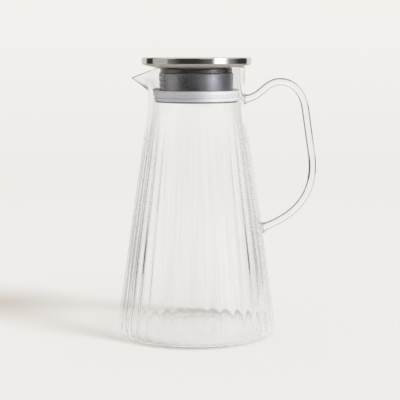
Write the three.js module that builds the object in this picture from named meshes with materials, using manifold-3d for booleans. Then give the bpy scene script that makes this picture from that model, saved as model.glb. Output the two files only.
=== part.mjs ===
// A lidded glass pitcher: a fluted conical glass body with a beak spout, a bent glass rod handle
// fused to it, and a steel lid that plugs into the neck. Under the lid's flat cap hangs a perforated
// steel collar, and a silicone seal round the collar closes the neck.
//
// Millimetres, +Z up. The origin is the middle of the base. The spout points to -X, the handle to +X.

import * as THREE from "three";
import { mergeVertices } from "three/addons/utils/BufferGeometryUtils.js";
import Module from "manifold-3d";

const wasm = await Module();
wasm.setup();

// Gap that pieces keep where they touch.
const seatGap = 0.3;

// Glass body: a cone from the base up to the neck's foot, and a neck up to the rim
const coneHeight = 205;
const neckHeight = 36.8;
const bodyRadius = 72;
const bodyBulge = 0.7;
const baseCornerRadius = 6.5;
const neckRadius = 43.2;
const neckBlend = 7;
const glassWall = 2.4;
const glassFloor = 5;
const innerCornerRadius = 9;
const rimRound = 1.2;

// Flutes on the inside of the cone
const fluteCount = 36;
const fluteDepth = 0.7;
const fluteFade = 14;

// Beak spout, whose root lies above the neck's foot
const spoutReach = 57.3;
const spoutRootRise = 14.3;
const spoutDrop = 9.8;
const spoutTipAngle = THREE.MathUtils.degToRad(4);
const spoutRampExponent = 1.15;

// Handle: a rod that rises from the neck, goes over a crest, down a leg and back to the body.
// Its upper root is set above the neck's foot, and its other heights from its upper root.
const rodRadius = 3.2;
const upperWeldRadius = 4.1;
const lowerWeldRadius = 4.9;
const weldLength = 5;
const weldDepth = 4;
const upperRootLift = 7.7;
const crestReach = 75;
const crestRise = 15.5;
const legTopReach = 98;
const legTopDrop = 8.7;
const legFootReach = 104.2;
const legFootDrop = 49.7;
const lowerRootDrop = 117.1;
const upperRootPull = 16;
const upperRootRise = 2.2;
const crestPull = 13.5;
const legPull = 13;
const sweepPull = 34;
const lowerRootPull = 33.8;
const lowerRootRise = 12.2;

// Lid cap, and the shallow dish that closes it from below
const capRadius = 49.2;
const capDepth = 5.5;
const capSheet = 0.8;
const capEdgeRound = 0.9;
const dishSheet = 0.8;
const dishRise = 4;
const dishFlatRadius = 27;
const dishFlangeHeight = 2.6;
const dishLip = 0.5;
const dishCurveExponent = 1.6;

// Recessed ring between the dish and the collar
const lidNeckRadius = 29.9;
const lidNeckWall = 1.2;
const lidNeckHeight = 3.7;

// Perforated collar with a flange at its open end
const collarRadius = 33.2;
const collarSheet = 0.8;
const collarDepth = 24;
const collarEdgeRound = 0.6;
const flangeRadius = 37;

// Strainer holes, on the side of the collar that faces the spout
const holeRadius = 1.15;
const holeRows = 4;
const holeRowPitch = 4.2;
const holeColumns = 9;
const holeColumnAngle = THREE.MathUtils.degToRad(8);
const topHoleDrop = 1.9;

// Silicone seal: a lower band, a groove, and a lip that flares up to the glass
const sealBandRadius = 37.6;
const sealBandHeight = 2.7;
const sealGrooveDepth = 0.9;
const sealGrooveWidth = 0.7;
const sealLipHeight = 9.3;
const sealLipDepth = 5.6;
const sealShoulderHeight = 6.6;
const sealLipEdge = 1.1;
const sealLipRoot = 1.7;

// Facets
const facetsPerFlute = 3;
const lidFacets = 60;
const rodSides = 12;
const holeSides = 10;
const coneRings = 4;
const clearanceRings = 16;
const dishRings = 4;
const cornerFacets = 3;
const stepsPerStretch = 12;

// Sizes that follow from the ones above
const bodyHeight = coneHeight + neckHeight;
const spoutRootHeight = coneHeight + spoutRootRise;
const upperRootHeight = coneHeight + upperRootLift;
const lowerRootHeight = upperRootHeight - lowerRootDrop;
const neckInnerRadius = neckRadius - glassWall;
const rimCrownRadius = neckRadius - glassWall / 2;
const dishRadius = capRadius - capSheet - seatGap;
const dishFlatHeight = bodyHeight + seatGap - dishRise * dishRiseShare(rimCrownRadius);
const capFootHeight = dishFlatHeight + dishRise + dishLip;
const capTopHeight = capFootHeight + capDepth;
const lidNeckTop = dishFlatHeight - seatGap;
const collarTop = lidNeckTop - lidNeckHeight - seatGap;
const collarFoot = collarTop - collarDepth;
const sealFoot = collarFoot + collarSheet + seatGap;
const sealInnerRadius = collarRadius + seatGap;
const sealLipRadius = neckInnerRadius - seatGap;

// How far up its rise the dish is at a radius: 0 over the flat middle, 1 at its edge.
function dishRiseShare(radius) {
  const share = Math.max(0, radius - dishFlatRadius) / (dishRadius - dishFlatRadius);
  return share ** dishCurveExponent;
}

// Radius of the body's outside at a height: a straight neck that runs into a slightly bulged cone.
function bodyRadiusAt(height) {
  const below = coneHeight - height;
  const eased = (below + Math.hypot(below, neckBlend)) / 2;
  const share = Math.min(1, eased / (coneHeight - baseCornerRadius));
  return neckRadius + (bodyRadius - neckRadius) * share + bodyBulge * Math.sin(Math.PI * share);
}

// A geometry with shared vertices and no collapsed triangles, which is what a solid needs.
function welded(geometry) {
  geometry.deleteAttribute("normal");
  geometry.deleteAttribute("uv");
  const merged = mergeVertices(geometry);
  const corners = merged.index.array;
  const kept = [];
  for (let i = 0; i < corners.length; i += 3) {
    const [a, b, c] = [corners[i], corners[i + 1], corners[i + 2]];
    if (a !== b && b !== c && c !== a) kept.push(a, b, c);
  }
  merged.setIndex(kept);
  return merged;
}

// A profile of [radius, height] points turned round the Z axis.
function turned(profile, segments) {
  const points = profile.map(([radius, height]) => new THREE.Vector2(radius, height));
  return new THREE.LatheGeometry(points, segments).rotateX(Math.PI / 2);
}

function toSolid(geometry) {
  const source = welded(geometry);
  return new wasm.Manifold(
    new wasm.Mesh({
      numProp: 3,
      vertProperties: source.attributes.position.array,
      triVerts: new Uint32Array(source.index.array),
    }),
  );
}

function toGeometry(solid) {
  const result = solid.getMesh();
  const geometry = new THREE.BufferGeometry();
  geometry.setAttribute("position", new THREE.BufferAttribute(result.vertProperties, 3));
  geometry.setIndex(new THREE.BufferAttribute(result.triVerts, 1));
  return geometry;
}

// Points of a quarter round from one angle to another, in degrees.
function arc(centre, middle, radius, from, to, facets) {
  const points = [];
  for (let i = 0; i <= facets; i++) {
    const angle = THREE.MathUtils.degToRad(from + ((to - from) * i) / facets);
    points.push([centre + radius * Math.cos(angle), middle + radius * Math.sin(angle)]);
  }
  return points;
}

// Heights at equal steps between two heights, both ends included.
function steps(from, to, count) {
  return Array.from({ length: count + 1 }, (_, i) => from + ((to - from) * i) / count);
}

// Glass body. Its profile is turned, and then each ring is warped: the inner ones into flutes,
// and the ones above the spout's root into the beak.
const spoutHalfAngle = Math.acos(neckRadius / spoutReach) + spoutTipAngle;

function azimuthFromSpout(x, y) {
  return Math.atan2(y, -x);
}

// The plan of the beak is two lines that touch the neck's circle and meet in a rounded tip. This is
// its radius over the neck's, and the share of its length run along the line, at an azimuth.
function beak(azimuth) {
  const softened = Math.hypot(azimuth, spoutTipAngle);
  const past = Math.max(0, spoutHalfAngle - softened);
  return {
    stretch: 1 / Math.cos(past),
    alongShare: Math.tan(past) / Math.tan(spoutHalfAngle - spoutTipAngle),
  };
}

// Share of the flutes' depth at a height: none in the neck, full in the cone, none at the base.
function fluteShare(height) {
  const fromNeck = (coneHeight - height) / fluteFade;
  const fromFloor = (height - glassFloor) / fluteFade;
  return THREE.MathUtils.clamp(Math.min(fromNeck, fromFloor), 0, 1);
}

function bodyProfile() {
  const coneFoot = baseCornerRadius + innerCornerRadius;
  const cone = steps(coneFoot, coneHeight - neckBlend, coneRings);
  const shoulder = [coneHeight, coneHeight + neckBlend];
  const lip = steps(spoutRootHeight, bodyHeight - rimRound, 3);
  const heights = [...cone, ...shoulder, ...lip];
  const cornerCentre = bodyRadius - baseCornerRadius;
  const outside = [
    [0, 0],
    ...arc(cornerCentre, baseCornerRadius, baseCornerRadius, -90, 0, cornerFacets),
    ...heights.map((height) => [bodyRadiusAt(height), height]),
  ];
  const innerCornerHeight = glassFloor + innerCornerRadius;
  const innerCornerCentre = bodyRadiusAt(innerCornerHeight) - glassWall - innerCornerRadius;
  const inside = [
    ...heights.toReversed().map((height) => [bodyRadiusAt(height) - glassWall, height]),
    ...arc(innerCornerCentre, innerCornerHeight, innerCornerRadius, 0, -90, cornerFacets),
    [0, glassFloor],
  ];
  return { outside, crown: [[rimCrownRadius, bodyHeight]], inside };
}

function makeBody() {
  const { outside, crown, inside } = bodyProfile();
  const profile = [...outside, ...crown, ...inside];
  const geometry = turned(profile, fluteCount * facetsPerFlute);
  const position = geometry.attributes.position;
  for (let i = 0; i < position.count; i++) {
    const ring = i % profile.length;
    const isInside = ring >= outside.length + crown.length;
    let [radius, height] = profile[ring];
    const azimuth = azimuthFromSpout(position.getX(i), position.getY(i));
    if (isInside && radius > 0) {
      radius -= (fluteDepth * fluteShare(height) * (1 + Math.cos(fluteCount * azimuth))) / 2;
    }
    const rampShare = Math.max(0, height - spoutRootHeight) / (bodyHeight - spoutRootHeight);
    const { stretch, alongShare } = beak(azimuth);
    radius *= 1 + (stretch - 1) * rampShare ** spoutRampExponent;
    height -= spoutDrop * rampShare * alongShare ** spoutRampExponent;
    position.setXYZ(i, -radius * Math.cos(azimuth), radius * Math.sin(azimuth), height);
  }
  return welded(geometry);
}

// The space that the body takes with a gap round it, which shapes the ends of the handle.
function bodyClearance() {
  const heights = steps(0, bodyHeight, clearanceRings);
  const side = heights.map((height) => [bodyRadiusAt(height) + seatGap, height]);
  return toSolid(turned([[0, 0], ...side, [0, bodyHeight]], fluteCount * facetsPerFlute));
}

// Handle: one rod along a path in the XZ plane, thicker towards both welds and cut to the body.
function handlePath() {
  const at = (reach, height) => new THREE.Vector3(reach, 0, height);
  const upperRoot = at(bodyRadiusAt(upperRootHeight), upperRootHeight);
  const lowerRoot = at(bodyRadiusAt(lowerRootHeight), lowerRootHeight);
  const crest = at(crestReach, upperRootHeight + crestRise);
  const legTop = at(legTopReach, upperRootHeight - legTopDrop);
  const legFoot = at(legFootReach, upperRootHeight - legFootDrop);
  const down = legFoot.clone().sub(legTop).normalize();
  const upperPull = at(upperRootPull, upperRootRise);
  const lowerPull = at(lowerRootPull, lowerRootRise);
  const over = at(crestPull, 0);
  const path = new THREE.CurvePath();
  path.add(new THREE.LineCurve3(sunkInto(upperRoot, upperPull), upperRoot));
  path.add(
    new THREE.CubicBezierCurve3(
      upperRoot,
      upperRoot.clone().add(upperPull),
      crest.clone().sub(over),
      crest,
    ),
  );
  path.add(
    new THREE.CubicBezierCurve3(
      crest,
      crest.clone().add(over),
      legTop.clone().addScaledVector(down, -legPull),
      legTop,
    ),
  );
  path.add(new THREE.LineCurve3(legTop, legFoot));
  path.add(
    new THREE.CubicBezierCurve3(
      legFoot,
      legFoot.clone().addScaledVector(down, sweepPull),
      lowerRoot.clone().add(lowerPull),
      lowerRoot,
    ),
  );
  path.add(new THREE.LineCurve3(lowerRoot, sunkInto(lowerRoot, lowerPull)));
  return path;
}

// A point that lies the weld's depth inside the glass, on the line that the rod leaves it by.
function sunkInto(root, pull) {
  return root.clone().addScaledVector(pull.clone().normalize(), -weldDepth);
}

// Rod radius at a distance from the body: it flares towards the weld.
function flared(distance, weldRadius) {
  const share = THREE.MathUtils.clamp(1 - distance / weldLength, 0, 1);
  return rodRadius + (weldRadius - rodRadius) * share ** 2;
}

function makeHandle() {
  const path = handlePath();
  const stretches = path.curves.length;
  const length = path.getLength();
  const positions = [];
  const index = [];
  const rings = [];
  path.curves.forEach((curve, stretch) => {
    const isWeld = stretch === 0 || stretch === stretches - 1;
    const count = isWeld ? 1 : stepsPerStretch;
    for (let i = stretch === 0 ? 0 : 1; i <= count; i++) {
      rings.push([curve.getPointAt(i / count), curve.getTangentAt(i / count)]);
    }
  });
  const lengths = path.getCurveLengths();
  let run = 0;
  rings.forEach(([centre, tangent], ring) => {
    if (ring > 0) run += centre.distanceTo(rings[ring - 1][0]);
    const upper = flared(Math.max(0, run - lengths[0]), upperWeldRadius);
    const lower = flared(Math.max(0, length - weldDepth - run), lowerWeldRadius);
    const radius = Math.max(upper, lower);
    const outward = new THREE.Vector3(tangent.z, 0, -tangent.x);
    for (let side = 0; side < rodSides; side++) {
      const angle = (2 * Math.PI * side) / rodSides;
      const point = centre.clone().addScaledVector(outward, radius * Math.cos(angle));
      positions.push(point.x, radius * Math.sin(angle), point.z);
    }
  });
  for (let ring = 0; ring < rings.length - 1; ring++) {
    for (let side = 0; side < rodSides; side++) {
      const a = ring * rodSides + side;
      const b = ring * rodSides + ((side + 1) % rodSides);
      index.push(a, b, a + rodSides, b, b + rodSides, a + rodSides);
    }
  }
  const last = (rings.length - 1) * rodSides;
  for (let side = 1; side < rodSides - 1; side++) {
    index.push(0, side + 1, side);
    index.push(last, last + side, last + side + 1);
  }
  const rod = new THREE.BufferGeometry();
  rod.setAttribute("position", new THREE.Float32BufferAttribute(positions, 3));
  rod.setIndex(index);
  return toGeometry(toSolid(rod).subtract(bodyClearance()));
}

// Lid cap: an inverted pan of sheet steel with a rounded top edge.
function makeCap() {
  const inner = capRadius - capSheet;
  const edge = capTopHeight - capEdgeRound;
  const profile = [
    [0, capTopHeight - capSheet],
    [inner, capTopHeight - capSheet],
    [inner, capFootHeight],
    [capRadius, capFootHeight],
    ...arc(capRadius - capEdgeRound, edge, capEdgeRound, 0, 90, cornerFacets),
    [0, capTopHeight],
  ];
  return welded(turned(profile, lidFacets));
}

// Lid underside: a shallow dish that rests on the rim of the glass, with a flange inside the cap.
function makeDish() {
  const radii = steps(dishFlatRadius, dishRadius, dishRings);
  const underside = radii.map((radius) => [
    radius,
    dishFlatHeight + dishRise * dishRiseShare(radius),
  ]);
  const upperside = underside
    .slice(0, -1)
    .reverse()
    .map(([radius, height]) => [radius, height + dishSheet]);
  const flangeTop = dishFlatHeight + dishRise + dishFlangeHeight;
  const profile = [
    [0, dishFlatHeight],
    ...underside,
    [dishRadius, flangeTop],
    [dishRadius - dishSheet, flangeTop],
    [dishRadius - dishSheet, dishFlatHeight + dishRise + dishSheet],
    ...upperside,
    [0, dishFlatHeight + dishSheet],
  ];
  return welded(turned(profile, lidFacets));
}

// Recessed ring: a short tube that spaces the collar from the dish.
function makeLidNeck() {
  const foot = lidNeckTop - lidNeckHeight;
  const inner = lidNeckRadius - lidNeckWall;
  const profile = [
    [inner, foot],
    [lidNeckRadius, foot],
    [lidNeckRadius, lidNeckTop],
    [inner, lidNeckTop],
    [inner, foot],
  ];
  return welded(turned(profile, lidFacets));
}

// Collar: an inverted cup, open below, whose flange holds the seal up. Holes on the spout's side.
function makeCollar() {
  const inner = collarRadius - collarSheet;
  const edge = collarTop - collarEdgeRound;
  const profile = [
    [0, collarTop - collarSheet],
    [inner, collarTop - collarSheet],
    [inner, collarFoot],
    [flangeRadius, collarFoot],
    [flangeRadius, collarFoot + collarSheet],
    [collarRadius, collarFoot + collarSheet],
    ...arc(collarRadius - collarEdgeRound, edge, collarEdgeRound, 0, 90, cornerFacets),
    [0, collarTop],
  ];
  let collar = toSolid(turned(profile, lidFacets));
  for (let column = 0; column < holeColumns; column++) {
    const azimuth = Math.PI + (column - (holeColumns - 1) / 2) * holeColumnAngle;
    for (let row = 0; row < holeRows; row++) {
      const height = collarTop - topHoleDrop - row * holeRowPitch;
      collar = collar.subtract(holeDrill(azimuth, height));
    }
  }
  return toGeometry(collar);
}

// A cylinder that runs through the collar's wall at an azimuth and a height.
function holeDrill(azimuth, height) {
  const drill = new THREE.CylinderGeometry(holeRadius, holeRadius, 4 * collarSheet, holeSides);
  drill.rotateZ(-Math.PI / 2);
  drill.translate(collarRadius, 0, height);
  drill.rotateZ(azimuth);
  return toSolid(drill);
}

// Silicone seal: one turned section, seated on the flange.
function makeSeal() {
  const bandTop = sealFoot + sealBandHeight;
  const lipFoot = bandTop + sealGrooveWidth;
  const lipTop = sealFoot + sealLipHeight;
  const profile = [
    [sealInnerRadius, sealFoot],
    [sealBandRadius, sealFoot],
    [sealBandRadius, bandTop],
    [sealBandRadius - sealGrooveDepth, bandTop],
    [sealBandRadius - sealGrooveDepth, lipFoot],
    [sealBandRadius, lipFoot],
    [sealLipRadius, lipTop - sealLipDepth / 2],
    [sealLipRadius, lipTop],
    [sealLipRadius - sealLipEdge, lipTop],
    [sealInnerRadius + sealLipRoot, sealFoot + sealShoulderHeight],
    [sealInnerRadius, sealFoot + sealShoulderHeight],
    [sealInnerRadius, sealFoot],
  ];
  return welded(turned(profile, lidFacets));
}

const glass = { color: 0xe8eeee, roughness: 0.03, metalness: 0 };
const polishedSteel = { color: 0xb8b5b1, roughness: 0.12, metalness: 1 };
const brushedSteel = { color: 0xa4a5a8, roughness: 0.38, metalness: 1 };
const silicone = { color: 0xd5dae0, roughness: 0.6, metalness: 0 };

function piece(name, geometry, finish) {
  geometry.computeVertexNormals();
  const mesh = new THREE.Mesh(geometry, new THREE.MeshStandardMaterial(finish));
  mesh.name = name;
  return mesh;
}

const jug = new THREE.Group();
jug.add(piece("glass_body", makeBody(), glass));
jug.add(piece("glass_handle", makeHandle(), glass));

const lid = new THREE.Group();
lid.add(piece("lid_cap", makeCap(), polishedSteel));
lid.add(piece("lid_underside", makeDish(), polishedSteel));
lid.add(piece("lid_neck_ring", makeLidNeck(), polishedSteel));
lid.add(piece("strainer_collar", makeCollar(), brushedSteel));
lid.add(piece("silicone_seal", makeSeal(), silicone));

const pitcher = new THREE.Group();
pitcher.add(jug, lid);

export default pitcher;
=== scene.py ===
"""Looks of a lidded glass pitcher: clear fluted glass, a steel lid and a silicone seal.

Metres, +Z up. The spout points to -X and the handle to +X. The camera looks along +Y.
"""

import math

import bpy
from mathutils import Matrix, Vector


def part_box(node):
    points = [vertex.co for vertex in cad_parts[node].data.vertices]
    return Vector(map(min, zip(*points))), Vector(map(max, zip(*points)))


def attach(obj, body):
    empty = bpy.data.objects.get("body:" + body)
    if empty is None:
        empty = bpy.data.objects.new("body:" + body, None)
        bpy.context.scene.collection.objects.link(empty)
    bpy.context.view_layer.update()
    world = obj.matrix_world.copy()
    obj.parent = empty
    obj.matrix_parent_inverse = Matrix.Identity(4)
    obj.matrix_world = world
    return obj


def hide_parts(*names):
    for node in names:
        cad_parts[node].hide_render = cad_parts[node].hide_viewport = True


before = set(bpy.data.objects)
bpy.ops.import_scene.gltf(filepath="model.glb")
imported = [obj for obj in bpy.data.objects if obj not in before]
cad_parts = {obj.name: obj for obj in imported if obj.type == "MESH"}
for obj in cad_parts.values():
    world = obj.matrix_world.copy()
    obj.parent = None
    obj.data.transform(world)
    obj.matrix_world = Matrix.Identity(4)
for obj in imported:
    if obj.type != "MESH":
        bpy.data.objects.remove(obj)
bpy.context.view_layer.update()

MM = 0.001

# Glass walls, in metres like every length below
GLASS_WALL = 2.4 * MM
RIM_WALL = 1.4 * MM
GLASS_FLOOR = 2.8 * MM
BASE_CORNER = 7.8 * MM
INNER_CORNER = 5.6 * MM
BASE_HOLLOW = 0.7 * MM
BASE_HOLLOW_POWER = 4
BASE_RING_SHARE = 0.8
NECK_RADIUS = 43.2 * MM
NECK_HEIGHT = 36.8 * MM
NECK_BLEND = 7 * MM
BODY_BULGE = 0.7 * MM

# Flutes on the inside of the cone
FLUTES = 36
FLUTE_DEPTH = 0.7 * MM
FLUTE_TOP_FADE = 55 * MM
FLUTE_RIDGE_POWER = 1.4
FLUTE_END_HEIGHT = 3.4 * MM
FLUTE_FOOT_FADE = 6 * MM

# Beak spout
SPOUT_REACH = 58.8 * MM
SPOUT_ROOT_RISE = 14.3 * MM
SPOUT_DROP = 9.8 * MM
SPOUT_TIP_ANGLE = math.radians(4)
SPOUT_RAMP_POWER = 1.15

# Handle
ROD_RADIUS = 3.2 * MM
UPPER_WELD_RADIUS = 4.6 * MM
LOWER_WELD_RADIUS = 5.4 * MM
WELD_LENGTH = 6 * MM
WELD_DEPTH = 1.6 * MM
WELD_FLARE_POWER = 2
UPPER_ROOT_LIFT = 7.7 * MM
CREST_REACH = 75 * MM
CREST_RISE = 15.5 * MM
LEG_TOP_REACH = 98 * MM
LEG_TOP_DROP = 8.7 * MM
LEG_FOOT_REACH = 104.1 * MM
LEG_FOOT_DROP = 49.7 * MM
LOWER_ROOT_DROP = 117.1 * MM
UPPER_ROOT_PULL = (16 * MM, 2.2 * MM)
CREST_PULL = 13.5 * MM
LEG_PULL = 13 * MM
SWEEP_PULL = 34 * MM
LOWER_ROOT_PULL = (33.8 * MM, 12.2 * MM)

# Lid sheets
CAP_SHEET = 0.8 * MM
CAP_EDGE_ROUND = 0.9 * MM
CAP_HEM_ROUND = 0.3 * MM
DISH_SHEET = 0.8 * MM
DISH_RISE = 4 * MM
DISH_FLAT_RADIUS = 27 * MM
DISH_CURVE_POWER = 1.6
RING_RADIUS = 31.9 * MM
RING_WALL = 3.2 * MM
RING_ROUND = 0.35 * MM
COLLAR_SHEET = 0.8 * MM
COLLAR_RADIUS = 32.9 * MM
COLLAR_EDGE_ROUND = 0.6 * MM
COLLAR_FOOT_ROUND = 0.3 * MM

# Strainer holes
HOLE_RADIUS = 1.15 * MM
HOLE_ROWS = 4
HOLE_ROW_PITCH = 4.2 * MM
HOLE_COLUMNS = 9
HOLE_COLUMN_ANGLE = math.radians(8)
TOP_HOLE_DROP = 1.9 * MM

# Silicone seal
SEAL_CLEARANCE = 0.3 * MM
SEAL_BAND_RADIUS = 37.6 * MM
SEAL_LIP_RADIUS = 39 * MM
SEAL_DROP = 1.1 * MM
SEAL_BAND_HEIGHT = 2.7 * MM
SEAL_GROOVE_DEPTH = 0.5 * MM
SEAL_GROOVE_WIDTH = 0.7 * MM
SEAL_LIP_FACE = 2.8 * MM
SEAL_SHOULDER_HEIGHT = 6.6 * MM
SEAL_LIP_EDGE = 1.1 * MM
SEAL_LIP_ROOT = 1.7 * MM
SEAL_LIP_ROUND = 1 * MM
SEAL_ROUND = 0.25 * MM

# Segments
STEPS_PER_FLUTE = 16
CONE_STEPS = 80
BASE_RINGS = 8
BASE_CORNER_STEPS = 12
BASE_JOIN_STEPS = 4
INNER_CORNER_STEPS = 16
FLOOR_RINGS = 8
SPOUT_STEPS = 20
RIM_ROUND_STEPS = 10
LID_SEGMENTS = 160
DISH_STEPS = 24
ROD_SIDES = 32
ROD_STEPS = 28
HOLE_SIDES = 24
ROUND_FACETS = 6
SHARP_DEGREES = 35

# Fillets: a share of the shorter side limits them, and a share of their reach places the points
# beside them
FILLET_LIMIT_SHARE = 0.42
FILLET_GUARD_SHARE = 0.15
LEAST_TURN = math.radians(1)

# Camera
CAMERA_PLACE = (3.13 * MM, -0.994, 257.6 * MM)
CAMERA_TILT = math.radians(7.82)
CAMERA_LENS = 99.165
SENSOR_WIDTH = 36.0

# Floor
BACKGROUND = (0.847, 0.835, 0.805)
FLOOR_PAINT = (0.860, 0.848, 0.826)
FLOOR_HALF_WIDTH = 0.5
FLOOR_FRONT = 0.8
FLOOR_BACK = 1.4
FLOOR_COLUMNS = 20
FLOOR_ROWS = 44
FLOOR_CLEAR_RADIUS = 0.45
FLOOR_FADE_RADIUS = 1.1
FLOOR_SINK = 0.2 * MM

# Light. A sun's angles are in degrees, its azimuth from -Y towards +X
EVEN_LIGHT = (0.665, 0.62, 0.575)
SUNS = {
    "key": dict(azimuth=61.5, elevation=45.5, softness=15.5, share=0.28, tint=(0.84, 1.0, 1.16)),
    "fill": dict(azimuth=35, elevation=50, softness=60, share=0.10, tint=(1.0, 1.0, 1.0)),
}
LIGHT_BOUNCES = 96
HALF_BOUNCE = 0.5

# Room that direct rays and rays through glass see, pale above the horizon. Its dark parts are
# below the horizon, and direct rays miss them. Each has a colour and a window, which is its two
# edges and the softness of each, in degrees from +Y towards +X. A span, here and below, is where
# a smooth change starts and ends
ROOM_PALE = (0.885, 0.875, 0.845)
ROOM_PALE_SPAN = (-0.12, 0.04)
ROOM_DARK_SPAN = (-0.02, -0.05)
ROOM_DARK_PARTS = (
    ((0.10, 0.10, 0.11), (33, 80, 11, 8)),
    ((0.08, 0.08, 0.09), (-79, -38, 7, 7)),
)

# Studio that is seen in reflections: each patch has a colour, a window of azimuth from -Y towards
# +X and a window of level, and covers those before it
STUDIO_PALE = (0.80, 0.79, 0.765)
STUDIO_BRIGHT = (0.9, 0.9, 0.88)
STUDIO_DARK = (0.05, 0.048, 0.042)
STUDIO_DUSK = (0.24, 0.235, 0.23)
STUDIO_GREY = (0.62, 0.58, 0.54)
STUDIO_FADE = (0.34, 0.34, 0.36)
STUDIO_WHITE = (1.6, 1.6, 1.65)
STUDIO_LAMP = (9.0, 9.0, 9.4)
LEVEL_BAND = (-14, 6, 3, 3)
DUSK_LEVELS = (-6, 4, 3, 3)
TALL_LEVELS = (-60, 45, 5, 10)
STUDIO_PATCHES = (
    (STUDIO_BRIGHT, (132, 165, 4, 12), (-40, 45, 5, 10)),
    (STUDIO_DARK, (-46, 8, 6, 6), (-40, 40, 8, 8)),
    (STUDIO_DARK, (-62, 110, 4, 6), (-14, 4, 3, 3)),
    (STUDIO_DARK, (104, 129, 6, 3), TALL_LEVELS),
    (STUDIO_DARK, (-127, -102, 3, 2), TALL_LEVELS),
    (STUDIO_DUSK, (-66, -46, 3, 17), DUSK_LEVELS),
    (STUDIO_DUSK, (22, 48, 22, 6), DUSK_LEVELS),
    (STUDIO_GREY, (-102, -62, 2, 3), LEVEL_BAND),
    (STUDIO_FADE, (56, 86, 4, 14), LEVEL_BAND),
    (STUDIO_WHITE, (36, 66, 5, 8), LEVEL_BAND),
    (STUDIO_LAMP, (52, 75, 3, 3), (34, 56, 3, 3)),
)

# Glass. Facing is 0 where a surface is seen head on and 1 where it is seen edge on
GLASS_IOR = 1.47
GLASS_GLOSS = (0.4, 0.4, 0.4)
GLASS_TINT = (0.999, 0.999, 1.0)
GLASS_EDGE_TINT = (0.88, 0.885, 0.90)
GLASS_EDGE_POWER = 4.0
# Painted dark edge for the beak and the handle's rod
PAINTED_DARK_EDGE = (0.07, 0.07, 0.08)
GLASS_SHADE = (0.999, 0.998, 0.996)
GLASS_EDGE_SHADE = (0.62, 0.61, 0.60)
SHADE_SPAN = (0.35, 0.9)

# Smudges and ripples of the glass
SMUDGE_SCALE = 38.0
SMUDGE_DETAIL = 4.0
SMUDGE_SPAN = (0.45, 0.75)
SMUDGE_ROUGHNESS = 0.012
RIPPLE_STRETCH = (1, 1, 0.35)
RIPPLE_SCALE = 26.0
RIPPLE_DETAIL = 2.0
RIPPLE_STRENGTH = 0.12
RIPPLE_HEIGHT = 0.15 * MM

# Upright streaks on the cone's outside, and a painted dark edge below the beak
STREAK_TINT = (0.945, 0.938, 0.934)
STREAKS_PER_RADIAN = 14.0
STREAK_RISE = 9.0
STREAK_DETAIL = 1.0
STREAK_SPAN = (0.42, 0.68)
STREAK_HEIGHT_SPAN = (6 * MM, 45 * MM)
BEAK_BLEND = 1 * MM
BEAK_UNDER_SPAN = (0.15, -0.2)
BEAK_EDGE_SPAN = (0.55, 0.7)

# Painted shade on the flutes' sides, deeper on the spout's side, and a painted shadow ring at the
# back of the floor's rim
FLUTE_LEFT_PAINTED_SHADE = (0.16, 0.16, 0.17)
FLUTE_RIGHT_PAINTED_SHADE = (0.60, 0.60, 0.62)
FLUTE_SIDE_REACH = 20 * MM
FLUTE_LEFT_GAIN = 0.09
FLUTE_EDGE_SPAN = (0.45, 0.8)
FLUTE_OUTLINE_SPAN = (0.66, 0.9)
FLUTE_OUTLINE_SHARE = 0.3
FLUTE_TINT_FOOT = 2 * MM
FLOOR_RIM_PAINTED_SHADOW = (0.76, 0.745, 0.72)
FLOOR_RIM_RADII = (47 * MM, 57 * MM)
FLOOR_RIM_HEIGHTS = (1.4 * MM, 0.2 * MM)
FLOOR_RIM_DEPTHS = (34 * MM, 56 * MM)

# Painted dark edges of the handle's rod, darker on the side up and towards the neck
ROD_FAR_PAINTED_EDGE = (0.65, 0.65, 0.67)
ROD_PAINTED_DARK_SIDE = (-0.7, 0.0, 0.7)
ROD_SIDE_SPAN = (-0.2, 0.5)
ROD_EDGE_SPAN = (0.12, 0.46)

# Steel
STEELS = {
    "polished_steel": dict(
        colour=(0.70, 0.69, 0.67),
        roughness=0.07,
        grain_scale=900.0,
        grain_depth=0.004 * MM,
        anisotropy=0.0,
    ),
    "satin_steel": dict(
        colour=(0.74, 0.69, 0.64),
        roughness=0.68,
        grain_scale=900.0,
        grain_depth=0.004 * MM,
        anisotropy=0.0,
    ),
    # Painted shade: the ring's steel is painted dark for the shade of its recess under the dish
    "ring_steel_painted_shade": dict(
        colour=(0.17, 0.16, 0.15),
        roughness=0.3,
        grain_scale=1600.0,
        grain_depth=0.01 * MM,
        anisotropy=0.5,
    ),
    "brushed_steel": dict(
        colour=(0.39, 0.39, 0.42),
        roughness=0.32,
        grain_scale=2600.0,
        grain_depth=0.02 * MM,
        anisotropy=0.7,
    ),
}
GRAINS_PER_RADIAN = 2.2
GRAIN_DETAIL = 6.0
GRAIN_ROUGHNESS = 0.7
GRAIN_SPAN = (0.25, 0.75)
GRAIN_TONE_SHARES = (0.86, 1.06)
GRAIN_STRENGTH = 0.6
HANDLING_SCALE = 55.0
HANDLING_DETAIL = 4.0
HANDLING_SPAN = (0.35, 0.7)
HANDLING_ROUGHNESS_SHARES = (0.85, 1.25)

# Silicone, with painted shade on the spout's side and painted light on the handle's side
SILICONE_IOR = 1.41
SILICONE_SCATTER = 0.5
SILICONE_SCATTER_SHARES = (1.0, 1.0, 1.0)
SILICONE_SCATTER_DEPTH = 3 * MM
SILICONE_PAINTED_SHADE_GREYS = ((0.56, 0.575, 0.63), (0.64, 0.65, 0.70))
SILICONE_PAINTED_LIGHT_PALES = ((0.88, 0.885, 0.90), (0.94, 0.94, 0.95))
SILICONE_PAINTED_LIGHT_SPAN = (-6 * MM, 16 * MM)
CLOUD_SCALE = 60.0
CLOUD_DETAIL = 3.0
FROST_SCALE = 900.0
FROST_DETAIL = 2.0
FROST_SPAN = (0.3, 0.7)
FROST_ROUGHNESS = (0.42, 0.6)
FROST_STRENGTH = 0.3
FROST_DEPTH = 0.05 * MM

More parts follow.
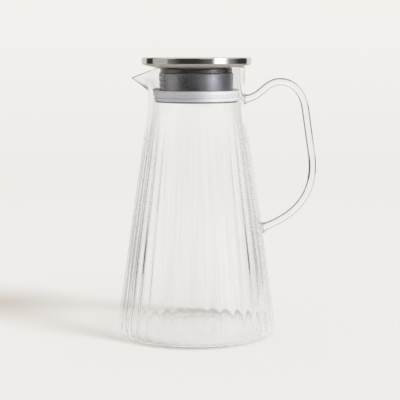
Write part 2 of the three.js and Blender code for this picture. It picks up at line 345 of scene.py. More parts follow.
# Sizes that follow from the frame
body_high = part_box("glass_body")[1]
BODY_HEIGHT = body_high.z
CONE_HEIGHT = BODY_HEIGHT - NECK_HEIGHT
BODY_RADIUS = body_high.y
SPOUT_ROOT = CONE_HEIGHT + SPOUT_ROOT_RISE
SPOUT_HALF_ANGLE = math.acos(NECK_RADIUS / SPOUT_REACH) + SPOUT_TIP_ANGLE
UPPER_ROOT = CONE_HEIGHT + UPPER_ROOT_LIFT


def smooth_share(value, low, high):
    """0 below low, 1 above high, and a smooth rise between them."""
    share = min(1.0, max(0.0, (value - low) / (high - low)))
    return share * share * (3 - 2 * share)


def steps(low, high, count):
    """Values at equal steps between two values, both ends included."""
    return [low + (high - low) * i / count for i in range(count + 1)]


def arc(centre, middle, radius, start, end, facets):
    """Points of an arc in a profile, between two angles in degrees."""
    angles = [math.radians(a) for a in steps(start, end, facets)]
    return [(centre + radius * math.cos(a), middle + radius * math.sin(a)) for a in angles]


def rounded(corners):
    """A closed profile from (radius, height, fillet) corners, each fillet limited by its sides.

    A point close to each end of a fillet keeps the flat beside it flat under smooth shading.
    """
    outline = []
    for i, (x, z, fillet) in enumerate(corners):
        here = Vector((x, z))
        before = Vector(corners[i - 1][:2]) - here
        after = Vector(corners[(i + 1) % len(corners)][:2]) - here
        turn = math.pi - before.angle(after)
        if fillet == 0 or turn < LEAST_TURN:
            outline.append((x, z))
            continue
        reach = fillet * math.tan(turn / 2)
        limit = FILLET_LIMIT_SHARE * min(before.length, after.length)
        if reach > limit:
            fillet *= limit / reach
            reach = limit
        start = here + before.normalized() * reach
        end = here + after.normalized() * reach
        inward = (before.normalized() + after.normalized()).normalized()
        hub = here + inward * (fillet / math.cos(turn / 2))
        first, last = start - hub, end - hub
        angle = first.angle(last)
        outline.append(tuple(start + before.normalized() * reach * FILLET_GUARD_SHARE))
        for share in steps(0, 1, ROUND_FACETS):
            near, far = math.sin((1 - share) * angle), math.sin(share * angle)
            outline.append(tuple(hub + (first * near + last * far) / math.sin(angle)))
        outline.append(tuple(end + after.normalized() * reach * FILLET_GUARD_SHARE))
    return outline


def new_piece(name, points, faces, sharp_degrees=None):
    """A smooth-shaded mesh object from points and faces."""
    mesh = bpy.data.meshes.new(name)
    mesh.from_pydata([tuple(p) for p in points], [], faces)
    mesh.validate()
    piece = bpy.data.objects.new(name, mesh)
    shade(piece, sharp_degrees)
    bpy.context.collection.objects.link(piece)
    return piece


def shade(piece, sharp_degrees):
    """Smooth shading, with edges above an angle left sharp where one is given."""
    piece.data.shade_smooth()
    if sharp_degrees is not None:
        piece.data.set_sharp_from_angle(angle=math.radians(sharp_degrees))


def turned_points(profile, segments, warp=None):
    """Points and faces of a profile turned round the Z axis.

    The profile runs from the axis back to the axis, or else closes on itself. Its points on the
    axis become one point each. warp moves a point: warp(row, azimuth) gives its radius and height.
    """
    points = []
    rows = []
    for row, (radius, height) in enumerate(profile):
        if radius == 0:
            points.append((0, 0, height))
            rows.append([len(points) - 1] * segments)
            continue
        first = len(points)
        for i in range(segments):
            azimuth = 2 * math.pi * i / segments
            r, h = warp(row, azimuth) if warp else (radius, height)
            points.append((-r * math.cos(azimuth), -r * math.sin(azimuth), h))
        rows.append(list(range(first, first + segments)))
    pairs = list(zip(rows, rows[1:]))
    starts_on_axis = profile[0][0] == 0
    if not starts_on_axis:
        pairs.append((rows[-1], rows[0]))
    faces = []
    for low, high in pairs:
        for i in range(segments):
            j = (i + 1) % segments
            corners = [low[i], low[j], high[j], high[i]]
            face = [c for k, c in enumerate(corners) if c not in corners[:k]]
            if len(face) > 2:
                faces.append(face)
    return points, faces


def turned(name, profile):
    """A piece of the lid: a profile turned round the Z axis."""
    points, faces = turned_points(profile, LID_SEGMENTS)
    return new_piece(name, points, faces, SHARP_DEGREES)


def combined(piece, other, operation):
    """Applies a boolean with another object to a piece, and removes the other object."""
    change = piece.modifiers.new("change", "BOOLEAN")
    change.operation = operation
    change.solver = "EXACT"
    change.material_mode = "TRANSFER"
    change.object = other
    bpy.context.view_layer.update()
    graph = bpy.context.evaluated_depsgraph_get()
    mesh = bpy.data.meshes.new_from_object(piece.evaluated_get(graph))
    piece.modifiers.clear()
    old = piece.data
    piece.data = mesh
    mesh.name = piece.name
    bpy.data.meshes.remove(old)
    bpy.data.objects.remove(other)
    return piece


# Glass pieces


def body_radius(height):
    """Radius of the outside at a height: a straight neck that runs into a bulged cone."""
    below = CONE_HEIGHT - height
    eased = (below + math.hypot(below, NECK_BLEND)) / 2
    share = min(1.0, eased / (CONE_HEIGHT - BASE_CORNER))
    bulge = BODY_BULGE * math.sin(math.pi * share)
    return NECK_RADIUS + (BODY_RADIUS - NECK_RADIUS) * share + bulge


def beak(azimuth):
    """The spout's radius over the neck's, and how far along its side an azimuth from it lies."""
    turn = (azimuth + math.pi) % (2 * math.pi) - math.pi
    past = max(0.0, SPOUT_HALF_ANGLE - math.hypot(turn, SPOUT_TIP_ANGLE))
    along = math.tan(past) / math.tan(SPOUT_HALF_ANGLE - SPOUT_TIP_ANGLE)
    return 1 / math.cos(past), along


def outer_profile(heights):
    """The outside from the middle of the base up to the rim."""
    ring = BODY_RADIUS * BASE_RING_SHARE
    foot = BODY_RADIUS - BASE_CORNER
    profile = [(0, BASE_HOLLOW)]
    for share in steps(0, 1, BASE_RINGS)[1:]:
        profile.append((ring * share, BASE_HOLLOW * (1 - share**BASE_HOLLOW_POWER)))
    profile += arc(foot, BASE_CORNER, BASE_CORNER, -90, 0, BASE_CORNER_STEPS)
    join = steps(BASE_CORNER, heights[0], BASE_JOIN_STEPS)[1:-1]
    return profile + [(body_radius(h), h) for h in join + heights]


def flute_share(height):
    """How much of their full depth the flutes have at a height."""
    upper = smooth_share(height, CONE_HEIGHT, CONE_HEIGHT - FLUTE_TOP_FADE)
    return upper * smooth_share(height, FLUTE_END_HEIGHT, FLUTE_END_HEIGHT + FLUTE_FOOT_FADE)


def wall_at(height):
    """Thickness of the wall at a height: it thins towards the rim."""
    return GLASS_WALL + (RIM_WALL - GLASS_WALL) * smooth_share(height, SPOUT_ROOT, BODY_HEIGHT)


def inner_profile(heights):
    """The inside from the rim down to the middle of the floor."""
    foot = GLASS_FLOOR + INNER_CORNER
    middle = body_radius(foot) - GLASS_WALL - INNER_CORNER
    profile = [(body_radius(h) - wall_at(h), h) for h in reversed(heights)]
    profile += arc(middle, foot, INNER_CORNER, 0, -90, INNER_CORNER_STEPS)
    return profile + [(r, GLASS_FLOOR) for r in steps(middle, 0, FLOOR_RINGS)[1:]]


def make_glass():
    """The jug and its handle as one glass, since they are fused."""
    cone = steps(BASE_CORNER + INNER_CORNER, CONE_HEIGHT - FLUTE_TOP_FADE, CONE_STEPS)
    shoulder = steps(CONE_HEIGHT - FLUTE_TOP_FADE, SPOUT_ROOT, SPOUT_STEPS)
    spout = steps(SPOUT_ROOT, BODY_HEIGHT - RIM_WALL / 2, SPOUT_STEPS)
    heights = cone + shoulder[1:] + spout[1:]
    outer = outer_profile(heights)
    rim = arc(NECK_RADIUS - RIM_WALL / 2, heights[-1], RIM_WALL / 2, 0, 180, RIM_ROUND_STEPS)
    crown = rim[1:-1]
    profile = outer + crown + inner_profile(heights)
    inner_start = len(outer) + len(crown)

    def warp(row, azimuth):
        radius, height = profile[row]
        if row >= inner_start:
            ridge = (0.5 + 0.5 * math.cos(FLUTES * azimuth)) ** FLUTE_RIDGE_POWER
            radius -= FLUTE_DEPTH * flute_share(height) * ridge
        ramp = max(0.0, height - SPOUT_ROOT) / (BODY_HEIGHT - SPOUT_ROOT)
        stretch, along = beak(azimuth)
        radius *= 1 + (stretch - 1) * ramp**SPOUT_RAMP_POWER
        height -= SPOUT_DROP * ramp * along**SPOUT_RAMP_POWER
        return radius, height

    segments = FLUTES * STEPS_PER_FLUTE
    points, faces = turned_points(profile, segments, warp)
    body = new_piece("glass_jug", points, faces)
    body.data.materials.append(glass_material())
    body.data.materials.append(fluted_material())
    for face in body.data.polygons:
        face.material_index = int(face.index >= inner_start * segments)
    rod = make_rod()
    rod.data.materials.append(rod_material())
    return combined(body, rod, "UNION")


def cubic(start, pull_out, pull_in, end, share):
    """A point on a cubic curve between two ends."""
    rest = 1 - share
    return (
        start * rest**3
        + pull_out * 3 * share * rest**2
        + pull_in * 3 * share**2 * rest
        + end * share**3
    )


def handle_path():
    """Points along the middle of the rod, from inside the neck to inside the cone."""
    upper = Vector((body_radius(UPPER_ROOT), UPPER_ROOT))
    foot = UPPER_ROOT - LOWER_ROOT_DROP
    lower = Vector((body_radius(foot), foot))
    crest = Vector((CREST_REACH, UPPER_ROOT + CREST_RISE))
    leg_top = Vector((LEG_TOP_REACH, UPPER_ROOT - LEG_TOP_DROP))
    leg_foot = Vector((LEG_FOOT_REACH, UPPER_ROOT - LEG_FOOT_DROP))
    down = (leg_foot - leg_top).normalized()
    over = Vector((CREST_PULL, 0))
    out = Vector(UPPER_ROOT_PULL)
    back = Vector(LOWER_ROOT_PULL)
    stretches = [
        (upper, upper + out, crest - over, crest),
        (crest, crest + over, leg_top - down * LEG_PULL, leg_top),
        (leg_top, leg_top.lerp(leg_foot, 1 / 3), leg_top.lerp(leg_foot, 2 / 3), leg_foot),
        (leg_foot, leg_foot + down * SWEEP_PULL, lower + back, lower),
    ]
    path = [upper - out.normalized() * WELD_DEPTH]
    for stretch in stretches:
        path += [cubic(*stretch, share) for share in steps(0, 1, ROD_STEPS)[:-1]]
    return path + [lower, lower - back.normalized() * WELD_DEPTH]


def make_rod():
    """The handle's rod, which flares where it meets the body."""
    path = handle_path()
    lengths = [0.0]
    for a, b in zip(path, path[1:]):
        lengths.append(lengths[-1] + (b - a).length)
    points = []
    for i, middle in enumerate(path):
        along = (path[min(i + 1, len(path) - 1)] - path[max(i - 1, 0)]).normalized()
        outward = Vector((along.y, -along.x))
        from_upper = max(0.0, lengths[i] - WELD_DEPTH)
        from_lower = max(0.0, lengths[-1] - WELD_DEPTH - lengths[i])
        radius = ROD_RADIUS
        for distance, weld in ((from_upper, UPPER_WELD_RADIUS), (from_lower, LOWER_WELD_RADIUS)):
            flare = max(0.0, 1 - distance / WELD_LENGTH) ** WELD_FLARE_POWER
            radius += (weld - ROD_RADIUS) * flare
        for side in range(ROD_SIDES):
            angle = 2 * math.pi * side / ROD_SIDES
            in_plane = middle + outward * radius * math.cos(angle)
            points.append((in_plane.x, radius * math.sin(angle), in_plane.y))
    faces = []
    for ring in range(len(path) - 1):
        for side in range(ROD_SIDES):
            a = ring * ROD_SIDES + side
            b = ring * ROD_SIDES + (side + 1) % ROD_SIDES
            faces.append((a, b, b + ROD_SIDES, a + ROD_SIDES))
    faces.append(list(reversed(range(ROD_SIDES))))
    last = (len(path) - 1) * ROD_SIDES
    faces.append([last + side for side in range(ROD_SIDES)])
    return new_piece("rod", points, faces)


# Lid pieces


def make_cap():
    """The flat disc and its short wall, bent from one sheet."""
    low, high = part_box("lid_cap")
    radius, top, foot = high.x, high.z, low.z
    inner = radius - CAP_SHEET
    corners = [
        (inner, top - CAP_SHEET, CAP_HEM_ROUND),
        (inner, foot, CAP_HEM_ROUND),
        (radius, foot, CAP_HEM_ROUND),
        (radius, top, CAP_EDGE_ROUND),
        (0, top, 0),
        (0, top - CAP_SHEET, 0),
    ]
    profile = rounded(corners)
    axis = profile.index((0, top - CAP_SHEET))
    return turned("lid_cap_sheet", profile[axis:] + profile[:axis])


def dish_rise(radius, edge):
    """How far the dish has risen at a radius, flat in the middle and steepest at its edge."""
    share = max(0.0, radius - DISH_FLAT_RADIUS) / (edge - DISH_FLAT_RADIUS)
    return DISH_RISE * share**DISH_CURVE_POWER


def make_dish():
    """The dish that closes the cap from below, with an upright edge inside the cap's wall."""
    low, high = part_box("lid_underside")
    edge, flat = high.x, low.z
    radii = steps(DISH_FLAT_RADIUS, edge, DISH_STEPS)
    under = [(r, flat + dish_rise(r, edge)) for r in radii]
    upper = [(r, z + DISH_SHEET) for r, z in reversed(under[:-2])]
    corners = [
        (under[-2][0], under[-2][1], 0),
        (edge, under[-1][1], CAP_HEM_ROUND),
        (edge, high.z, CAP_HEM_ROUND),
        (edge - DISH_SHEET, high.z, CAP_HEM_ROUND),
        (edge - DISH_SHEET, under[-1][1] + DISH_SHEET, 0),
    ]
    hem = rounded(corners)[1:]
    profile = [(0, flat)] + under[:-1] + hem + upper + [(0, flat + DISH_SHEET)]
    return turned("lid_underside_dish", profile)


def make_ring():
    """The recessed ring between the dish and the collar."""
    low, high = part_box("lid_neck_ring")
    inner = RING_RADIUS - RING_WALL
    corners = [
        (inner, low.z, RING_ROUND),
        (RING_RADIUS, low.z, RING_ROUND),
        (RING_RADIUS, high.z, RING_ROUND),
        (inner, high.z, RING_ROUND),
    ]
    return turned("lid_neck_tube", rounded(corners))


def make_collar():
    """The strainer cup, open below, with a flange at its foot and holes on the spout's side."""
    low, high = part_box("strainer_collar")
    inner = COLLAR_RADIUS - COLLAR_SHEET
    foot = low.z - SEAL_DROP
    corners = [
        (0, high.z - COLLAR_SHEET, 0),
        (inner, high.z - COLLAR_SHEET, COLLAR_EDGE_ROUND / 2),
        (inner, foot, COLLAR_EDGE_ROUND),
        (high.x, foot, COLLAR_FOOT_ROUND),
        (high.x, foot + COLLAR_SHEET, COLLAR_FOOT_ROUND),
        (COLLAR_RADIUS, foot + COLLAR_SHEET, COLLAR_FOOT_ROUND),
        (COLLAR_RADIUS, high.z, COLLAR_EDGE_ROUND),
        (0, high.z, 0),
    ]
    collar = turned("strainer_cup", rounded(corners))
    combined(collar, make_drills(high.z), "DIFFERENCE")
    shade(collar, SHARP_DEGREES)
    return collar


def make_drills(collar_top):
    """One mesh with a rod through the collar's wall for each strainer hole."""
    points, faces = [], []
    reach = (COLLAR_RADIUS - 2 * COLLAR_SHEET, COLLAR_RADIUS + COLLAR_SHEET)
    for column in range(HOLE_COLUMNS):
        azimuth = math.pi + (column - (HOLE_COLUMNS - 1) / 2) * HOLE_COLUMN_ANGLE
        turn = Matrix.Rotation(azimuth, 3, "Z")
        for row in range(HOLE_ROWS):
            height = collar_top - TOP_HOLE_DROP - row * HOLE_ROW_PITCH
            first = len(points)
            for depth in reach:
                for side in range(HOLE_SIDES):
                    angle = 2 * math.pi * side / HOLE_SIDES
                    across, up = HOLE_RADIUS * math.cos(angle), HOLE_RADIUS * math.sin(angle)
                    points.append(turn @ Vector((depth, across, height + up)))
            for side in range(HOLE_SIDES):
                a, b = first + side, first + (side + 1) % HOLE_SIDES
                faces.append((a, b, b + HOLE_SIDES, a + HOLE_SIDES))
            faces.append([first + side for side in reversed(range(HOLE_SIDES))])
            faces.append([first + HOLE_SIDES + side for side in range(HOLE_SIDES)])
    return new_piece("drills", points, faces)


def make_seal():
    """The seal: a grooved band below and a lip that leans out to the neck."""
    low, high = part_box("silicone_seal")
    foot, lip_top, lip = low.z - SEAL_DROP, high.z - SEAL_DROP, SEAL_LIP_RADIUS
    inner = COLLAR_RADIUS + SEAL_CLEARANCE
    band_top = foot + SEAL_BAND_HEIGHT
    lip_foot = band_top + SEAL_GROOVE_WIDTH
    shoulder = foot + SEAL_SHOULDER_HEIGHT
    corners = [
        (inner, foot, SEAL_ROUND),
        (SEAL_BAND_RADIUS, foot, SEAL_ROUND),
        (SEAL_BAND_RADIUS, band_top, SEAL_ROUND),
        (SEAL_BAND_RADIUS - SEAL_GROOVE_DEPTH, band_top, SEAL_ROUND),
        (SEAL_BAND_RADIUS - SEAL_GROOVE_DEPTH, lip_foot, SEAL_ROUND),
        (SEAL_BAND_RADIUS, lip_foot, SEAL_ROUND),
        (lip, lip_top - SEAL_LIP_FACE, SEAL_LIP_ROUND),
        (lip, lip_top, SEAL_ROUND),
        (lip - SEAL_LIP_EDGE, lip_top, SEAL_ROUND),
        (inner + SEAL_LIP_ROOT, shoulder, SEAL_ROUND),
        (inner, shoulder, SEAL_ROUND),
    ]
    return turned("seal_ring", rounded(corners))


# Node helpers


class Nodes:
    """Short calls for adding and linking nodes in one tree."""

    # Places of the colour sockets on a Mix node
    MIX_FIRST, MIX_SECOND, MIX_RESULT = 6, 7, 2

    def __init__(self, tree):
        self.tree = tree
        tree.nodes.clear()

    def add(self, kind, **settings):
        node = self.tree.nodes.new(kind)
        for key, value in settings.items():
            setattr(node, key, value)
        return node

    def put(self, socket, value):
        """Links a socket's value, or sets it where it is a plain one."""
        if isinstance(value, bpy.types.NodeSocket):
            self.tree.links.new(value, socket)
        else:
            socket.default_value = value

    def fill(self, node, *values):
        """Puts values into a node's sockets in order, and gives its first output."""
        for socket, value in zip(node.inputs, values):
            self.put(socket, value)
        return node.outputs[0]

    def math(self, operation, *values):
        return self.fill(self.add("ShaderNodeMath", operation=operation), *values)

    def product(self, first, *others):
        for other in others:
            first = self.math("MULTIPLY", first, other)
        return first

    def mix(self, share, first, second):
        """A colour between two, each a socket or a plain colour."""
        node = self.add("ShaderNodeMix", data_type="RGBA")
        self.put(node.inputs["Factor"], share)
        for place, colour in ((self.MIX_FIRST, first), (self.MIX_SECOND, second)):
            plain = not isinstance(colour, bpy.types.NodeSocket)
            self.put(node.inputs[place], (*colour, 1.0) if plain else colour)
        return node.outputs[self.MIX_RESULT]

    def rise(self, value, low, high, start=0.0, end=1.0):
        """A smooth change from start to end as a value goes from low to high."""
        node = self.add("ShaderNodeMapRange", interpolation_type="SMOOTHSTEP")
        return self.fill(node, value, low, high, start, end)

    def noise(self, vector, scale, detail, roughness=0.5):
        node = self.add("ShaderNodeTexNoise")
        self.put(node.inputs["Vector"], vector)
        self.put(node.inputs["Scale"], scale)
        self.put(node.inputs["Detail"], detail)
        self.put(node.inputs["Roughness"], roughness)
        return node.outputs["Fac"]

    def coordinates(self, kind):
        return self.add("ShaderNodeTexCoord").outputs[kind]

    def parts(self, vector):
        """The X, Y and Z of a vector."""
        node = self.add("ShaderNodeSeparateXYZ")
        self.put(node.inputs[0], vector)
        return node.outputs

    def joined(self, x, y, z):
        return self.fill(self.add("ShaderNodeCombineXYZ"), x, y, z)

    def from_axis(self, x, y):
        """Distance from the Z axis."""
        return self.math("SQRT", self.math("ADD", self.product(x, x), self.product(y, y)))

    def stretched(self, vector, scale):
        """A vector with each part times its own scale."""
        node = self.add("ShaderNodeMapping")
        self.put(node.inputs["Vector"], vector)
        self.put(node.inputs["Scale"], scale)
        return node.outputs["Vector"]

    def bump(self, shader, height, strength, distance):
        node = self.add("ShaderNodeBump")
        self.put(node.inputs["Strength"], strength)
        self.put(node.inputs["Distance"], distance)
        self.put(node.inputs["Height"], height)
        self.put(shader.inputs["Normal"], node.outputs["Normal"])

    def choice(self, share, first, second):
        """A shader between two."""
        node = self.add("ShaderNodeMixShader")
        self.fill(node, share, first.outputs[0], second.outputs[0])
        return node

    def surface(self, shader, kind="ShaderNodeOutputMaterial"):
        self.put(self.add(kind).inputs["Surface"], shader.outputs[0])


def rgba(colour):
    return (*colour, 1.0)


def new_material(name):
    material = bpy.data.materials.new(name)
    material.use_nodes = True
    return material, Nodes(material.node_tree)


# Materials


def clear_glass(name, tint_maker):
    """Clear borosilicate glass with faint waviness and a tint that its edges show. On the flutes,
    the rod and the beak's lower edge, that tint holds painted shade.

    tint_maker(nodes, facing) gives the tint's socket. The shadow is thin, and deeper where
    light grazes the wall.
    """
    material, n = new_material(name)
    place = n.coordinates("Object")
    shader = n.add("ShaderNodeBsdfPrincipled")
    shader.inputs["IOR"].default_value = GLASS_IOR
    shader.inputs["Transmission Weight"].default_value = 1.0
    shader.inputs["Specular Tint"].default_value = rgba(GLASS_GLOSS)
    facing = n.add("ShaderNodeLayerWeight").outputs["Facing"]
    n.put(shader.inputs["Base Color"], tint_maker(n, facing))
    smudge = n.noise(place, SMUDGE_SCALE, SMUDGE_DETAIL)
    n.put(shader.inputs["Roughness"], n.rise(smudge, *SMUDGE_SPAN, 0.0, SMUDGE_ROUGHNESS))
    ripple = n.noise(n.stretched(place, RIPPLE_STRETCH), RIPPLE_SCALE, RIPPLE_DETAIL)
    n.bump(shader, ripple, RIPPLE_STRENGTH, RIPPLE_HEIGHT)
    clear = n.add("ShaderNodeBsdfTransparent")
    shade_tint = n.mix(n.rise(facing, *SHADE_SPAN), GLASS_SHADE, GLASS_EDGE_SHADE)
    n.put(clear.inputs["Color"], shade_tint)
    shadow = n.add("ShaderNodeLightPath").outputs["Is Shadow Ray"]
    n.surface(n.choice(shadow, shader, clear))
    return material


def glass_material():
    """The jug's outside: faint upright streaks, and a beak with a painted dark edge below."""

    def tint(n, facing):
        coordinates = n.add("ShaderNodeTexCoord")
        x, y, z = n.parts(coordinates.outputs["Object"])
        turn = n.product(n.math("ARCTAN2", y, x), STREAKS_PER_RADIAN)
        streak_place = n.joined(turn, 0.0, n.product(z, STREAK_RISE))
        streak = n.rise(n.noise(streak_place, 1.0, STREAK_DETAIL), *STREAK_SPAN)
        below_neck = n.rise(z, CONE_HEIGHT, CONE_HEIGHT - FLUTE_TOP_FADE)
        above_floor = n.rise(z, *STREAK_HEIGHT_SPAN)
        body = n.mix(n.product(below_neck, above_floor, streak), GLASS_TINT, STREAK_TINT)
        plain = n.mix(n.math("POWER", facing, GLASS_EDGE_POWER), body, GLASS_EDGE_TINT)
        # Painted shade: a dark edge under the beak where it is seen edge on
        past_neck = n.rise(x, -NECK_RADIUS + BEAK_BLEND, -NECK_RADIUS - BEAK_BLEND)
        above_cone = n.rise(z, CONE_HEIGHT - FLUTE_TOP_FADE, CONE_HEIGHT)
        upward = n.parts(coordinates.outputs["Normal"])[2]
        under = n.rise(upward, *BEAK_UNDER_SPAN)
        edge_on = n.rise(facing, *BEAK_EDGE_SPAN)
        return n.mix(n.product(past_neck, above_cone, under, edge_on), plain, PAINTED_DARK_EDGE)

    return clear_glass("clear_glass", tint)


def fluted_material():
    """The jug's inside: painted shade darkens the flutes' sides where they are seen edge on.

    The painted shade is deeper on the spout's side. The rim of the floor has a weak painted shadow
    ring at the back.
    """

    def tint(n, facing):
        x, y, z = n.parts(n.coordinates("Object"))
        # Painted shade: dark lines on the flutes' sides where they are seen edge on, painted deeper
        # on the spout's side
        side = n.rise(x, -FLUTE_SIDE_REACH, FLUTE_SIDE_REACH)
        painted_line_shade = n.mix(side, FLUTE_LEFT_PAINTED_SHADE, FLUTE_RIGHT_PAINTED_SHADE)
        below_neck = n.rise(z, CONE_HEIGHT, CONE_HEIGHT - FLUTE_TOP_FADE)
        above_floor = n.rise(z, GLASS_FLOOR + FLUTE_TINT_FOOT, GLASS_FLOOR + INNER_CORNER)
        gain = n.rise(x, FLUTE_SIDE_REACH, -FLUTE_SIDE_REACH, 0.0, FLUTE_LEFT_GAIN)
        edge_on = n.rise(n.math("ADD", facing, gain), *FLUTE_EDGE_SPAN)
        off_outline = n.rise(facing, *FLUTE_OUTLINE_SPAN, 1.0, FLUTE_OUTLINE_SHARE)
        line_share = n.product(below_neck, above_floor, off_outline, edge_on)
        lined = n.mix(line_share, GLASS_TINT, painted_line_shade)
        # Painted shadow: a grey ring on the back of the floor's rim, standing in for the cast
        # shadow seen through the glass
        at_rim = n.rise(n.from_axis(x, y), *FLOOR_RIM_RADII)
        on_floor = n.rise(z, *(GLASS_FLOOR + height for height in FLOOR_RIM_HEIGHTS))
        behind = n.rise(y, *FLOOR_RIM_DEPTHS)
        return n.mix(n.product(at_rim, on_floor, behind), lined, FLOOR_RIM_PAINTED_SHADOW)

    return clear_glass("fluted_glass", tint)


def rod_material():
    """The handle's glass, with painted dark edges, painted darker up and towards the neck."""

    def tint(n, facing):
        # Painted shade: the rod's edges are painted dark, more so on the side up and towards the
        # neck
        toward = n.add("ShaderNodeVectorMath", operation="DOT_PRODUCT")
        n.fill(toward, n.coordinates("Normal"), ROD_PAINTED_DARK_SIDE)
        side = n.rise(toward.outputs["Value"], *ROD_SIDE_SPAN)
        painted_edge = n.mix(side, ROD_FAR_PAINTED_EDGE, PAINTED_DARK_EDGE)
        return n.mix(n.rise(facing, *ROD_EDGE_SPAN), GLASS_TINT, painted_edge)

    return clear_glass("rod_glass", tint)


def steel_material(name, colour, roughness, grain_scale, grain_depth, anisotropy):
    """Steel whose grain runs round the Z axis."""
    material, n = new_material(name)
    shader = n.add("ShaderNodeBsdfPrincipled")
    shader.inputs["Metallic"].default_value = 1.0
    shader.inputs["Anisotropic"].default_value = anisotropy
    place = n.coordinates("Object")
    x, y, z = n.parts(place)
    outward = n.product(n.from_axis(x, y), grain_scale)
    turn = n.product(n.math("ARCTAN2", y, x), GRAINS_PER_RADIAN)
    grain_place = n.joined(outward, turn, n.product(z, grain_scale))
    grain = n.noise(grain_place, 1.0, GRAIN_DETAIL, GRAIN_ROUGHNESS)
    tint = n.add("ShaderNodeVectorMath", operation="SCALE")
    tint.inputs[0].default_value = colour
    n.put(tint.inputs["Scale"], n.rise(grain, *GRAIN_SPAN, *GRAIN_TONE_SHARES))
    n.put(shader.inputs["Base Color"], tint.outputs[0])
    handling = n.noise(place, HANDLING_SCALE, HANDLING_DETAIL)
    roughnesses = [roughness * share for share in HANDLING_ROUGHNESS_SHARES]
    n.put(shader.inputs["Roughness"], n.rise(handling, *HANDLING_SPAN, *roughnesses))
    n.bump(shader, grain, GRAIN_STRENGTH, grain_depth)
    if anisotropy:
        tangent = n.add("ShaderNodeTangent", direction_type="RADIAL", axis="Z")
        n.put(shader.inputs["Tangent"], tangent.outputs[0])
    n.surface(shader)
    return material


def silicone_material():
    """Frosted, slightly see-through silicone, painted greyer as shade towards the spout and paler
    as light towards the handle.
    """
    material, n = new_material("frosted_silicone")
    shader = n.add("ShaderNodeBsdfPrincipled")
    shader.inputs["IOR"].default_value = SILICONE_IOR
    shader.inputs["Subsurface Weight"].default_value = SILICONE_SCATTER
    shader.inputs["Subsurface Radius"].default_value = SILICONE_SCATTER_SHARES
    shader.inputs["Subsurface Scale"].default_value = SILICONE_SCATTER_DEPTH
    place = n.coordinates("Object")
    cloud = n.noise(place, CLOUD_SCALE, CLOUD_DETAIL)
    # Painted light and shade: the seal is painted paler towards the handle's lit side and greyer
    # towards the spout
    side = n.rise(n.parts(place)[0], *SILICONE_PAINTED_LIGHT_SPAN)
    colour = n.mix(side, n.mix(cloud, *SILICONE_PAINTED_SHADE_GREYS), n.mix(cloud, *SILICONE_PAINTED_LIGHT_PALES))
    n.put(shader.inputs["Base Color"], colour)
    frost = n.noise(place, FROST_SCALE, FROST_DETAIL)
    n.put(shader.inputs["Roughness"], n.rise(frost, *FROST_SPAN, *FROST_ROUGHNESS))
    n.bump(shader, frost, FROST_STRENGTH, FROST_DEPTH)
    n.surface(shader)
    return material


# Studio


def make_world():
    """A pale room for the camera and through glass, a studio for reflections, and even light."""
    world = bpy.data.worlds.new("studio")
    world.use_nodes = True
    bpy.context.scene.world = world
    world.cycles.sampling_method = "NONE"
    n = Nodes(world.node_tree)
    x, y, z = n.parts(n.coordinates("Generated"))
    path = n.add("ShaderNodeLightPath")

    def window(value, low, high, low_edge, high_edge):
        """1 between two edges, each with its own softness, and 0 outside them."""
        opened = n.rise(value, low - low_edge, low + low_edge)
        shut = n.rise(value, high - high_edge, high + high_edge, 1.0, 0.0)
        return n.product(opened, shut)

    turn = n.math("DEGREES", n.math("ARCTAN2", x, n.product(y, -1.0)))
    level = n.math("DEGREES", n.math("ARCSINE", z))
    studio = STUDIO_PALE
    for colour, turn_window, level_window in STUDIO_PATCHES:
        share = n.product(window(turn, *turn_window), window(level, *level_window))
        studio = n.mix(share, studio, colour)

    ahead = n.math("DEGREES", n.math("ARCTAN2", x, y))
    indirect = n.math("SUBTRACT", 1.0, path.outputs["Is Camera Ray"])
    low_down = n.product(n.rise(z, *ROOM_DARK_SPAN), indirect)
    room = n.mix(n.rise(z, *ROOM_PALE_SPAN), BACKGROUND, ROOM_PALE)
    for colour, ahead_window in ROOM_DARK_PARTS:
        room = n.mix(n.product(low_down, window(ahead, *ahead_window)), room, colour)

    mirrored = n.math("COMPARE", path.outputs["Glossy Depth"], 1.0, HALF_BOUNCE)
    scattered = n.math("GREATER_THAN", path.outputs["Diffuse Depth"], HALF_BOUNCE)
    background = n.add("ShaderNodeBackground")
    seen = n.mix(scattered, n.mix(mirrored, room, studio), EVEN_LIGHT)
    n.put(background.inputs["Color"], seen)
    n.surface(background, "ShaderNodeOutputWorld")


def make_floor():
    """A sheet that takes the shadow near the pitcher and melts into the room further out."""
    columns = steps(-FLOOR_HALF_WIDTH, FLOOR_HALF_WIDTH, FLOOR_COLUMNS)
    rows = steps(-FLOOR_FRONT, FLOOR_BACK, FLOOR_ROWS)
    points = [(x, y, -FLOOR_SINK) for y in rows for x in columns]
    faces = []
    for row in range(FLOOR_ROWS):
        for column in range(FLOOR_COLUMNS):
            a = row * len(columns) + column
            faces.append((a, a + 1, a + 1 + len(columns), a + len(columns)))
    floor = new_piece("floor", points, faces)
    material, n = new_material("floor_paint")
    matt = n.add("ShaderNodeBsdfDiffuse")
    matt.inputs["Color"].default_value = rgba(FLOOR_PAINT)
    glow = n.add("ShaderNodeEmission")
    glow.inputs["Color"].default_value = rgba(BACKGROUND)
    distance = n.add("ShaderNodeVectorMath", operation="LENGTH")
    n.put(distance.inputs[0], n.coordinates("Object"))
    far = n.rise(distance.outputs["Value"], FLOOR_CLEAR_RADIUS, FLOOR_FADE_RADIUS)
    n.surface(n.choice(far, matt, glow))
    floor.data.materials.append(material)


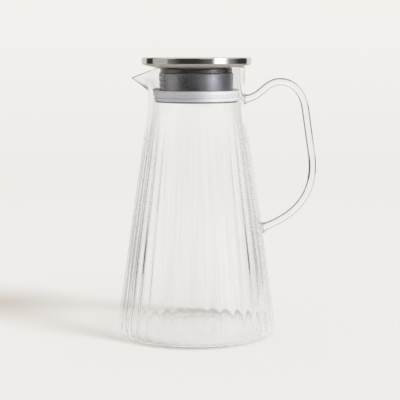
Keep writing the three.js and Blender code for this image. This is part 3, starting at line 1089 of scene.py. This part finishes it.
def add_sun(name, azimuth, elevation, softness, share, tint):
    """A soft sun that gives level ground this share of its light, and that no mirror shows."""
    azimuth, elevation = math.radians(azimuth), math.radians(elevation)
    light = bpy.data.lights.new(name, "SUN")
    light.angle = math.radians(softness)
    light.color = tint
    light.energy = share * math.pi / math.sin(elevation)
    sun = bpy.data.objects.new(name, light)
    bpy.context.collection.objects.link(sun)
    flat = math.cos(elevation)
    towards = Vector((flat * math.sin(azimuth), -flat * math.cos(azimuth), math.sin(elevation)))
    sun.location = towards
    sun.rotation_euler = (-towards).to_track_quat("-Z", "Y").to_euler()
    sun.visible_camera = False
    sun.visible_glossy = False
    sun.visible_transmission = False


def make_camera():
    """The photograph's viewing angle."""
    data = bpy.data.cameras.new("camera")
    data.sensor_width = SENSOR_WIDTH
    data.lens = CAMERA_LENS
    camera = bpy.data.objects.new("camera", data)
    camera.location = CAMERA_PLACE
    camera.rotation_euler = (math.pi / 2 - CAMERA_TILT, 0, 0)
    bpy.context.collection.objects.link(camera)
    bpy.context.scene.camera = camera


def dress(piece, material, body, slot, *nodes):
    """Gives a piece its material, unless it has one, its body and the nodes that it stands for."""
    if material:
        piece.data.materials.clear()
        piece.data.materials.append(material)
    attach(piece, body)
    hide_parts(*nodes)


cycles = bpy.context.scene.cycles
cycles.max_bounces = LIGHT_BOUNCES
cycles.glossy_bounces = LIGHT_BOUNCES
cycles.transmission_bounces = LIGHT_BOUNCES
cycles.blur_glossy = 0.0
make_camera()
make_world()
make_floor()
for name, sun in SUNS.items():
    add_sun(name, **sun)
bpy.context.scene.view_settings.view_transform = "Standard"

steel = {name: steel_material(name, **finish) for name, finish in STEELS.items()}
dress(make_glass(), None, "jug", "clear_glass", "glass_body", "glass_handle")
dress(make_cap(), steel["polished_steel"], "lid", "polished_steel", "lid_cap")
dress(make_dish(), steel["satin_steel"], "lid", "polished_steel", "lid_underside")
# The ring gets the darkened steel, painted shade for its recess
dress(make_ring(), steel["ring_steel_painted_shade"], "lid", "polished_steel", "lid_neck_ring")
dress(make_collar(), steel["brushed_steel"], "lid", "brushed_steel", "strainer_collar")
dress(make_seal(), silicone_material(), "seal", "silicone", "silicone_seal")
